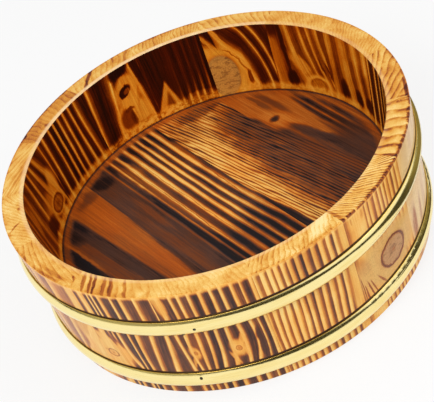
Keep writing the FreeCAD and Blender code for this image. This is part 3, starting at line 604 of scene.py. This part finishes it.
BOARDS = {
    1: {"least": 0.36, "depth": 0.94, "spread": 0.2,
        "lines": [(-128, -128, -127, 3.0), (-114, -113, -111, 2.0), (-102.6, -98.1, -92.0, 2.0),
                  (-67.0, -66.5, -66.0, 4.0), (-50, -50, -50)],
        "spots": [(-90.0, 20, 9.0, 66, -0.06, 0.60, 0.75, 0.8), (-89.6, 72, 8.6, 15, 0.08, 1.0, 0.95, 0.7),
                  (-104.6, 42, 3.6, 22, -0.05, 1.0, 0.95, 0.7), (-84.0, 12, 4.0, 64, -0.07, 0.84, 0.85, 0.8),
                  (-100.4, 40, 1.1, 28, -0.06, 0.38, 0.9, 0.8)],
        "flames": [(-63.3, -202, -0.064, 0.036, 0.41, 2.0)],
        "over": [(-66, 97, 12, 8, 0, 0.70, 0.8, 0.9), (-67, 64, 8, 22, 0.0, 0.36, 0.7, 0.9),
                 (-64, 6, 5, 44, -0.02, 0.38, 0.5, 0.9), (-71, -10, 3, 60, -0.05, 0.54, 0.5, 0.9),
                 (-56.6, -36, 2.0, 50, 0.02, 0.8, 0.8, 0.8), (-72, 100, 6, 12, 0, 0.56, 0.6, 0.9)]},
    2: {"spread": 0.24, "least": 0.03, "depth": 0.92,
        "lines": [(-60, -60, -60), (-34.5, -35.0, -35.5, 1.8), (-27.5, -28.0, -27.8, 1.6),
                  (-21.0, -22.6, -22.4, 2.6), (-12.4, -13.3, -12.6, 3.0), (-4.7, -5.6, -4.4, 2.8),
                  (1.0, 0.3, 2.2, 2.2), (7.2, 6.8, 10.5, 2.2), (13.8, 14.0, 19.0, 2.8), (24, 24, 24)],
        "shades": [(-8, 72, 36, 26, 0.0, -0.14), (-8, 20, 22, 50, 0.0, -0.12), (0, -66, 44, 40, 0.0, 0.20),
                   (-36.5, 10, 5.0, 140, 0.0, 0.42), (-27.6, 0, 3.0, 90, 0.0, 0.26)],
        "spots": [(-45.0, 20, 9.6, 130, 0.0, 0.72, 0.9, 0.6), (-44.6, 74, 8.0, 24, 0.0, 0.76, 0.8, 0.8),
                  (-45.0, 100, 8.4, 8, -0.1, 1.0, 0.95, 0.8), (-40.6, 36, 2.6, 26, 0.0, 0.56, 0.6, 0.9),
                  (-48.6, -24, 3.6, 60, 0.0, 0.62, 0.7, 0.9), (-25.0, 46, 2.2, 56, 0.0, 0.46, 0.75, 0.8)],
        "over": [(-31.0, 108, 1.7, 9, 0.0, 1.0, 0.9, 0.8), (-31.0, -6, 1.3, 62, 0.0, 1.0, 0.8, 0.8),
                 (-17.6, 108, 1.9, 9, 0.0, 1.0, 0.9, 0.8), (-8.6, 110, 1.5, 8, 0.0, 1.0, 0.9, 0.8),
                 (4.0, 109, 1.6, 9, 0.0, 1.0, 0.9, 0.8), (10.2, 109, 1.2, 9, 0.0, 1.0, 0.9, 0.8),
                 (-2.0, 20, 0.5, 90, 0.0, 0.72, 0.7, 0.8), (18.4, 104, 1.5, 12, 0.0, 1.0, 0.9, 0.8),
                 (-13.6, 20, 0.4, 80, 0.0, 0.42, 0.6, 0.9), (-22.0, 20, 0.4, 80, 0.0, 0.5, 0.6, 0.9),
                 (14.8, 30, 0.45, 50, 0.03, 0.5, 0.6, 0.9)]},
    3: {"spacing": 2.5, "tilt": 0.105, "profile": FINE, "spread": 0.7, "depth": 0.76, "least": 0.07,
        "shades": [(80, -25, 38, 112, 0.0, 0.46), (60, 104, 20, 10, 0.0, 0.30), (66, 62, 14, 20, 0.0, 0.12),
                   (19.8, 70, 1.6, 40, 0.0, 0.30), (30, 96, 20, 22, 0.0, 0.10),
                   (34, -6, 15, 84, -0.05, -0.12)],
        "flames": [(19.0, 32, 0.02, -0.10, 1.02, 1.6)]},
    4: {"least": 0.36, "depth": 0.90, "spread": 0.3,
        "lines": [(66, 66, 66), (80.0, 80.6, 83.0, 0.9), (100.4, 101.2, 101.0, 2.0),
                  (106.8, 106.8, 106.0, 1.3), (113.0, 113.0, 112.4, 1.6), (120.4, 120.0, 118.8, 2.6),
                  (127, 127, 127, 3.0)],
        "spots": [(74.6, 71, 4.6, 26, 0.0, 0.76, 0.8, 0.9), (92, 98, 22, 14, 0.0, 0.60, 0.75, 0.9),
                  (104, -44, 14, 34, 0.0, 0.78, 0.85, 0.9), (78.0, -30, 9.0, 58, -0.10, 0.66, 0.9, 0.9)],
        "flames": [(96.2, -20, -0.33, 0.14, 0.34, 2.4)],
        "over": [(92.0, 64, 3.0, 26, -0.05, 0.66, 0.8, 0.9), (86.4, 66, 1.8, 22, -0.05, 0.66, 0.7, 0.9),
                 (88.4, 2, 3.6, 28, -0.24, 0.80, 0.85, 0.8), (76.4, 6, 1.3, 34, -0.20, 0.84, 0.6, 0.9),
                 (80.9, 40, 8.6, 16.0, 0.0, 0.30, 0.9, 0.8), (87.2, 32, 3.4, 13.0, -0.28, 0.28, 0.8, 0.9),
                 (80.9, 40.2, 3.8, 4.0, 0.0, 0.74, 0.9, 0.7), (80.9, 40.2, 2.4, 2.6, 0.0, 0.92, 0.9, 0.7)]},
}

boards = [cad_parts[f"floor_board_{number}"] for number in range(1, 5)]
for number, node in enumerate(boards, 1):
    material, tree, (x, y, _) = new_finish(f"floor_wood_{number}")
    across = x * math.cos(grain_turn) + y * math.sin(grain_turn)
    along = y * math.cos(grain_turn) - x * math.sin(grain_turn)
    face = {"profile": GLOW, "spread": 0.4, **BOARDS[number]}
    char, grain, speck = charred(across, along, face, (100, 25, -50), 1.0, 200 + number)
    if number == 4:
        fine = ((across + along * BOARDS[3]["tilt"]) * (1 / BOARDS[3]["spacing"])).math("FRACT").ramp(FINE)
        near_third = (across + along * 0.16).step(82.0, 77.0)
        char = char + (fine - 0.4) * (near_third * 0.30)
    from_centre = (x.squared() + y.squared()).math("SQRT")
    ragged = (across * 0.16).noise(along * 0.06, number, 3.0, 0.6) * 6 - 3.0
    pale_end = (from_centre + ragged).step(115.5, 120.5)
    char = char.towards(grain * 0.5 + speck * 0.3 + 0.42, pale_end * 0.8)
    # Painted shade: the floor darkens in the corner against the wall.
    corner = from_centre.step(122.6, 124.4)
    char = char + corner * 0.35
    under = facing_up(tree).step(0.2, -0.2)
    char = char + (grain * 0.4 + 0.22 - char) * under
    warm = (across * 0.07).noise(along * 0.02, number * 3.7, 2.0).step(0.35, 0.65)
    colour = warm.tint(char.ramp(FLOOR_TONES), rgb(255, 234, 206), "MULTIPLY")
    close_finish(tree, {"Base Color": colour, "Roughness": char * 0.08 + 0.36, "Specular IOR Level": 0.07},
                 [(grain * 0.5 - char * 0.6, 0.0004, 0.5)])
    dress(node, material)

# The hoops
# Two bands of half-round brass, driven up the taper from below until they grip, then polished.

for name in ("hoop_upper", "hoop_lower"):
    material, tree, (x, y, z) = new_finish(f"{name}_brass")
    low, high = (corner.z * 1000 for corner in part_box(name))
    bearing = y.math("ARCTAN2", x)
    height = (z - (low + high) / 2) * (2 / (high - low))
    brushed = (height * 9).noise(bearing.math("SINE") * 1.4, bearing.math("COSINE") * 1.4, 3.0, 0.7) - 0.5
    cloud = (x * 0.03).noise(y * 0.03, z * 0.2, 3.0) - 0.5
    # The clouds and brushing marks are the brass's own tarnish. The dark edges are partly tarnish and partly
    # painted shade, and the darker lower edge and the slight darkening towards the bottom are painted shade
    # and reflection.
    tarnish_and_shade = height.step(0.94, 1.0) * 0.5 + height.step(-0.55, -1.0) * 0.55 + height.step(0.5, -0.6) * 0.10
    tarnish_and_shade = tarnish_and_shade + cloud * 0.5 + brushed * 0.3
    colour = tarnish_and_shade.ramp([(0.0, rgb(255, 236, 166)), (0.22, rgb(246, 216, 128)), (0.55, rgb(184, 146, 56)),
                           (1.0, rgb(74, 54, 16))])
    roughness = tarnish_and_shade * 0.16 + brushed * 0.06 + 0.13
    inputs = {"Base Color": colour, "Metallic": 1.0, "Roughness": roughness}
    close_finish(tree, inputs, [(brushed, 0.0002, 0.04)])
    dress(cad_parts[name], material)

# The nails
# Three small steel nails through the hoops into the staves, dulled by handling.

material, tree, (x, y, z) = new_finish("nail_steel")
colour = (x * 2).noise(y * 2, z * 2).ramp([(0.3, rgb(30, 24, 18)), (0.7, rgb(72, 58, 44))])
close_finish(tree, {"Base Color": colour, "Metallic": 0.6, "Roughness": 0.5})
dress(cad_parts["hoop_tacks"], material)

# The pegs
# Split bamboo pegs inside the joints. They show only if the tub is taken apart.

material, tree, (x, y, z) = new_finish("peg_bamboo")
colour = (x * 3).noise(y * 3, z * 3).ramp([(0.3, rgb(190, 160, 100)), (0.7, rgb(220, 194, 138))])
close_finish(tree, {"Base Color": colour, "Roughness": 0.6})
for name in ("stave_pegs", "floor_pegs"):
    dress(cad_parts[name], material)

# The studio
# A pale table under the tub, soft light from above and the sides, and the photograph's camera: 39 degrees
# above the table, 1.2 m from the rim and rolled 22 degrees, with a long lens.

rim_radius = 0.150
camera_rise = math.radians(38.82)
camera_roll = math.radians(-22.18)
camera_distance = 8.005 * rim_radius
camera_shift = Vector((0.076 * rim_radius, -0.274 * rim_radius))
sensor_width = 36
photo_width = 434
focal_pixels = 1705.6

back = Vector((0, -math.cos(camera_rise), math.sin(camera_rise)))
level = Vector((1, 0, 0))
raised = back.cross(level)
right = level * math.cos(camera_roll) + raised * math.sin(camera_roll)
upward = raised * math.cos(camera_roll) - level * math.sin(camera_roll)
camera = bpy.data.objects.new("camera", bpy.data.cameras.new("camera"))
camera.data.sensor_width = sensor_width
camera.data.lens = sensor_width * focal_pixels / photo_width
rim_centre = Vector((0, 0, tub_top / 1000))
spot = rim_centre + right * camera_shift.x + upward * camera_shift.y + back * camera_distance
camera.matrix_world = Matrix.Translation(spot) @ Matrix((right, upward, back)).transposed().to_4x4()
camera.data.clip_start, camera.data.clip_end = 0.01, 50
bpy.context.scene.collection.objects.link(camera)
bpy.context.scene.camera = camera


def in_sight(tree):
    """1 for what the camera sees, straight or in a mirror, and 0 for light that only bounces about."""
    rays = [tree.node("LightPath", {}, {}, f"Is {kind} Ray") for kind in ("Camera", "Glossy", "Singular")]
    return rays[0].math("MAXIMUM", rays[1]).math("MAXIMUM", rays[2])


table = bpy.data.meshes.new("table")
half_table = 3.0
table.from_pydata([(-half_table, -half_table, 0), (half_table, -half_table, 0),
                   (half_table, half_table, 0), (-half_table, half_table, 0)], [], [(0, 1, 2, 3)])
table_top = bpy.data.objects.new("table", table)
bpy.context.scene.collection.objects.link(table_top)
table_top.location.z = -0.0002
material, tree, _ = new_finish("table_pale")
pale = tree.node("BsdfDiffuse", {}, {"Color": (0.86, 0.86, 0.86, 1)})
white = tree.node("Emission", {}, {"Color": (1, 1, 1, 1), "Strength": 1.0})
top = tree.node("MixShader", {}, {0: in_sight(tree) * 0.8, 1: pale, 2: white})
tree.node("OutputMaterial", {}, {"Surface": top})
table.materials.append(material)

# Dark cards that only the brass and the lacquer mirror: one stands 1 m off round the front, paler to the
# left, one lies on the table at the right, and a low one stands close round the foot for the lower hoop.
# The lying card and the low one are painted shadow: they darken what the hoops mirror where the tub's own
# shadow falls on the table.
# Each row is a bearing in degrees, then the card's two edges in metres: heights, or distances if it lies.

STANDING = [(-215, 0.08, 0.46), (-190, 0.08, 0.52), (-175, 0.10, 0.58), (-155, 0.12, 0.66),
            (-135, 0.20, 0.62), (-118, 0.29, 0.52), (-100, 0.20, 0.50), (-81, 0.10, 0.48), (-65, 0.05, 0.38),
            (-52, 0.01, 0.27), (-44, 0.0, 0.17), (-34, 0.0, 0.08), (-26, 0.0, 0.05), (0, 0.0, 0.05),
            (20, 0.0, 0.08), (40, 0.0, 0.09), (60, 0.0, 0.08)]
LYING = [(-46, 0.50, 1.0), (-40, 0.40, 1.0), (-34, 0.27, 0.98), (-28, 0.20, 0.97), (-20, 0.184, 0.96),
         (-9, 0.195, 0.95), (0, 0.21, 0.9), (16, 0.22, 0.85), (42, 0.22, 0.8), (80, 0.22, 0.8),
         (110, 0.22, 0.8)]
COLLAR = [(-48, 0.0085, 0.0105), (-42, 0.004, 0.0125), (-33, 0.001, 0.011), (-22, 0.001, 0.009),
          (-11, 0.001, 0.009), (0, 0.001, 0.009), (15, 0.001, 0.009), (30, 0.001, 0.009)]
collar_radius = 0.175
lying_height = 0.001


def card_corner(turn, distance, height):
    return Vector((math.cos(math.radians(turn)) * distance, math.sin(math.radians(turn)) * distance, height))


standing = [(card_corner(turn, 1, high), card_corner(turn, 1, low)) for turn, low, high in STANDING]
lying = [(card_corner(turn, near, lying_height), card_corner(turn, far, lying_height))
         for turn, near, far in LYING]
collar = [(card_corner(turn, collar_radius, low), card_corner(turn, collar_radius, high))
          for turn, low, high in COLLAR]
corners, faces = [], []
for card in (standing, lying, collar):
    first = len(corners)
    corners += [corner for edge in card for corner in edge]
    faces += [(corner, corner + 1, corner + 3, corner + 2) for corner in range(first, len(corners) - 2, 2)]
cards = bpy.data.meshes.new("dark_cards")
cards.from_pydata(corners, [], faces)
dark_cards = bpy.data.objects.new("dark_cards", cards)
bpy.context.scene.collection.objects.link(dark_cards)
dark_cards.visible_camera = False
dark_cards.visible_diffuse = False
dark_cards.visible_shadow = False
material, tree, (x, y, _) = new_finish("card_cloth")
paleness = x.step(-300, -900) * y.step(200, -200)
olive = x.step(150, 240) * y.step(-110, 0)
colour = paleness.tint(olive.tint((0.06, 0.055, 0.03), (0.24, 0.20, 0.08)), (0.5, 0.46, 0.3))
cloth = tree.node("BsdfDiffuse", {}, {"Color": colour})
tree.node("OutputMaterial", {}, {"Surface": cloth})
cards.materials.append(material)

# The room is white and sends even light, with a large soft box at the front left and a weaker one at the
# right.

world = bpy.data.worlds.new("studio")
bpy.context.scene.world = world
world.use_nodes = True
world.node_tree.nodes.clear()
sky = Shade(world.node_tree)
strength = in_sight(sky) * 0.45 + 0.55
light = sky.node("Background", {}, {"Color": (1, 1, 1, 1), "Strength": strength})
sky.node("OutputWorld", {}, {"Surface": light})


def softbox(name, spot, target, width, height, power):
    lamp = bpy.data.lights.new(name, "AREA")
    lamp.shape = "RECTANGLE"
    lamp.size, lamp.size_y, lamp.energy = width, height, power
    holder = bpy.data.objects.new(name, lamp)
    holder.location = spot
    holder.rotation_euler = (Vector(target) - Vector(spot)).to_track_quat("-Z", "Y").to_euler()
    bpy.context.scene.collection.objects.link(holder)


softbox("key_box", (-0.7, -0.9, 1.3), (0, 0, 0.05), 0.9, 0.9, 14)
softbox("fill_box", (1.1, -0.4, 0.9), (0, 0, 0.05), 0.8, 0.8, 6)

bpy.context.scene.view_settings.view_transform = "Standard"
